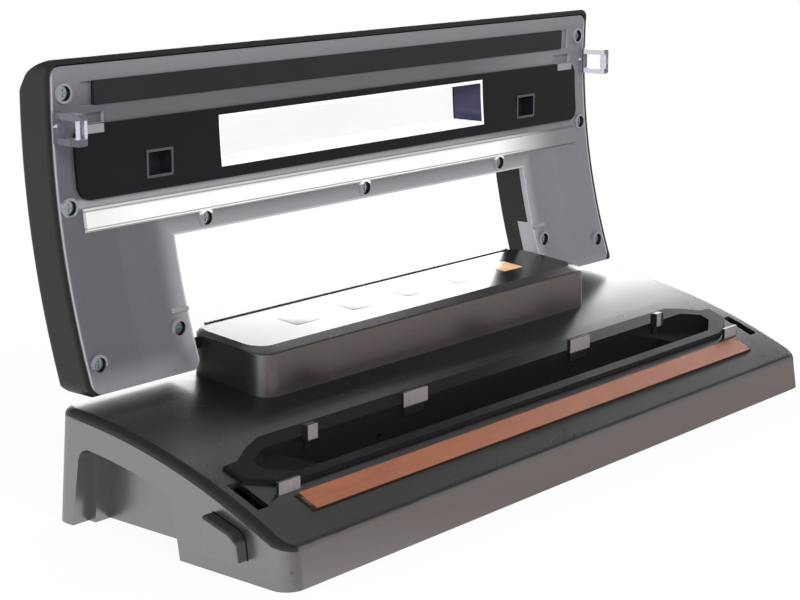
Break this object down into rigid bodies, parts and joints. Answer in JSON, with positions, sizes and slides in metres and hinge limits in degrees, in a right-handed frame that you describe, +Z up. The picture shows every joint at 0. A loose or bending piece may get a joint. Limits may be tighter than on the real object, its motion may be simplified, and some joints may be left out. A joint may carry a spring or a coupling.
{
  "type": "vacuum sealer",
  "caption": "Countertop vacuum sealer with an open hinged lid, ring gasket and trough, heat strip, side release buttons and a pad panel.",
  "frame": {"origin": "middle of the base's footprint on the surface that it stands on", "axes": "+Z up, -Y towards the front that takes the bag, +X to the right as seen from the front"},
  "size_m": [0.379, 0.1462, 0.1791],
  "materials": {
    "body_black": "satin moulded, fine grain",
    "lid_black": "satin moulded",
    "button_black": "satin",
    "panel_gloss": "glossy",
    "pad_grey": "glossy with a soft edge",
    "pad_lit": "lit from behind",
    "trough_black": "polished inside",
    "gasket_black": "soft, matt",
    "stop_black": "satin",
    "rubber_black": "soft, matt",
    "pad_black": "soft, smooth",
    "foot_rubber": "matt",
    "hose_grey": "soft",
    "tape_brown": "woven release tape",
    "bar_brown": "heat-proof laminate",
    "smoky_clear": "smoky clear, satin",
    "window_clear": "clear",
    "hook_clear": "clear moulded",
    "zinc": "zinc plated",
    "steel": "drawn",
    "core_grey": "varnished",
    "board_green": "solder mask"
  },
  "bodies": {
    "base": {"base_housing": "body_black", "bottom_plate": "body_black", "feet": "foot_rubber", "base_screws": "zinc", "control_housing": "body_black", "panel_overlay": "panel_gloss", "control_board": "board_green", "key_switches": "body_black", "status_lamp": "pad_lit", "hinge_pin_left": "steel", "hinge_pin_right": "steel", "vacuum_trough": "trough_black", "lower_gasket": "gasket_black", "bag_stops": "stop_black", "guide_blocks": "stop_black", "vacuum_port": "steel", "pump_hose": "hose_grey", "pump_head": "body_black", "pump_motor": "steel", "power_board": "board_green", "transformer": "core_grey", "lid_switch": "body_black", "lead_gland": "foot_rubber", "heat_bar": "bar_brown", "heating_wire": "steel", "seal_tape": "tape_brown", "latch_spring_left": "steel", "latch_spring_right": "steel"},
    "lid": {"lid_shell": "lid_black", "lid_cover": "smoky_clear", "chamber_pad": "pad_black", "tab_sockets": "pad_black", "viewing_window": "window_clear", "press_rubber": "rubber_black", "lid_screws": "zinc", "latch_hook_left": "hook_clear", "latch_hook_right": "hook_clear"},
    "release_left": {"release_button_left": "button_black", "latch_catch_left": "body_black"},
    "release_right": {"release_button_right": "button_black", "latch_catch_right": "body_black"},
    "pad_1": {"control_pad_1": "pad_grey"},
    "pad_2": {"control_pad_2": "pad_grey"},
    "pad_3": {"control_pad_3": "pad_grey"},
    "pad_4": {"control_pad_4": "pad_grey"},
    "pad_5": {"control_pad_5": "pad_lit"}
  },
  "joints": [
    {"name": "lid_hinge", "type": "hinge", "parent": "base", "child": "lid", "pos_m": [0, 0.05455, 0.0595], "axis": [1, 0, 0], "range_deg": [0, 114]},
    {"name": "release_left", "type": "slide", "parent": "base", "child": "release_left", "axis": [1, 0, 0], "range_m": [0, 0.0025], "stiffness_N_per_m": 800, "deforming": ["latch_spring_left"]},
    {"name": "release_right", "type": "slide", "parent": "base", "child": "release_right", "axis": [-1, 0, 0], "range_m": [0, 0.0025], "stiffness_N_per_m": 800, "deforming": ["latch_spring_right"]},
    {"name": "pad_1", "type": "slide", "parent": "base", "child": "pad_1", "axis": [0, 0.0924, -0.9957], "range_m": [0, 0.0006], "stiffness_N_per_m": 600},
    {"name": "pad_2", "type": "slide", "parent": "base", "child": "pad_2", "axis": [0, 0.0924, -0.9957], "range_m": [0, 0.0006], "stiffness_N_per_m": 600},
    {"name": "pad_3", "type": "slide", "parent": "base", "child": "pad_3", "axis": [0, 0.0924, -0.9957], "range_m": [0, 0.0006], "stiffness_N_per_m": 600},
    {"name": "pad_4", "type": "slide", "parent": "base", "child": "pad_4", "axis": [0, 0.0924, -0.9957], "range_m": [0, 0.0006], "stiffness_N_per_m": 600},
    {"name": "pad_5", "type": "slide", "parent": "base", "child": "pad_5", "axis": [0, 0.0924, -0.9957], "range_m": [0, 0.0006], "stiffness_N_per_m": 600}
  ]
}
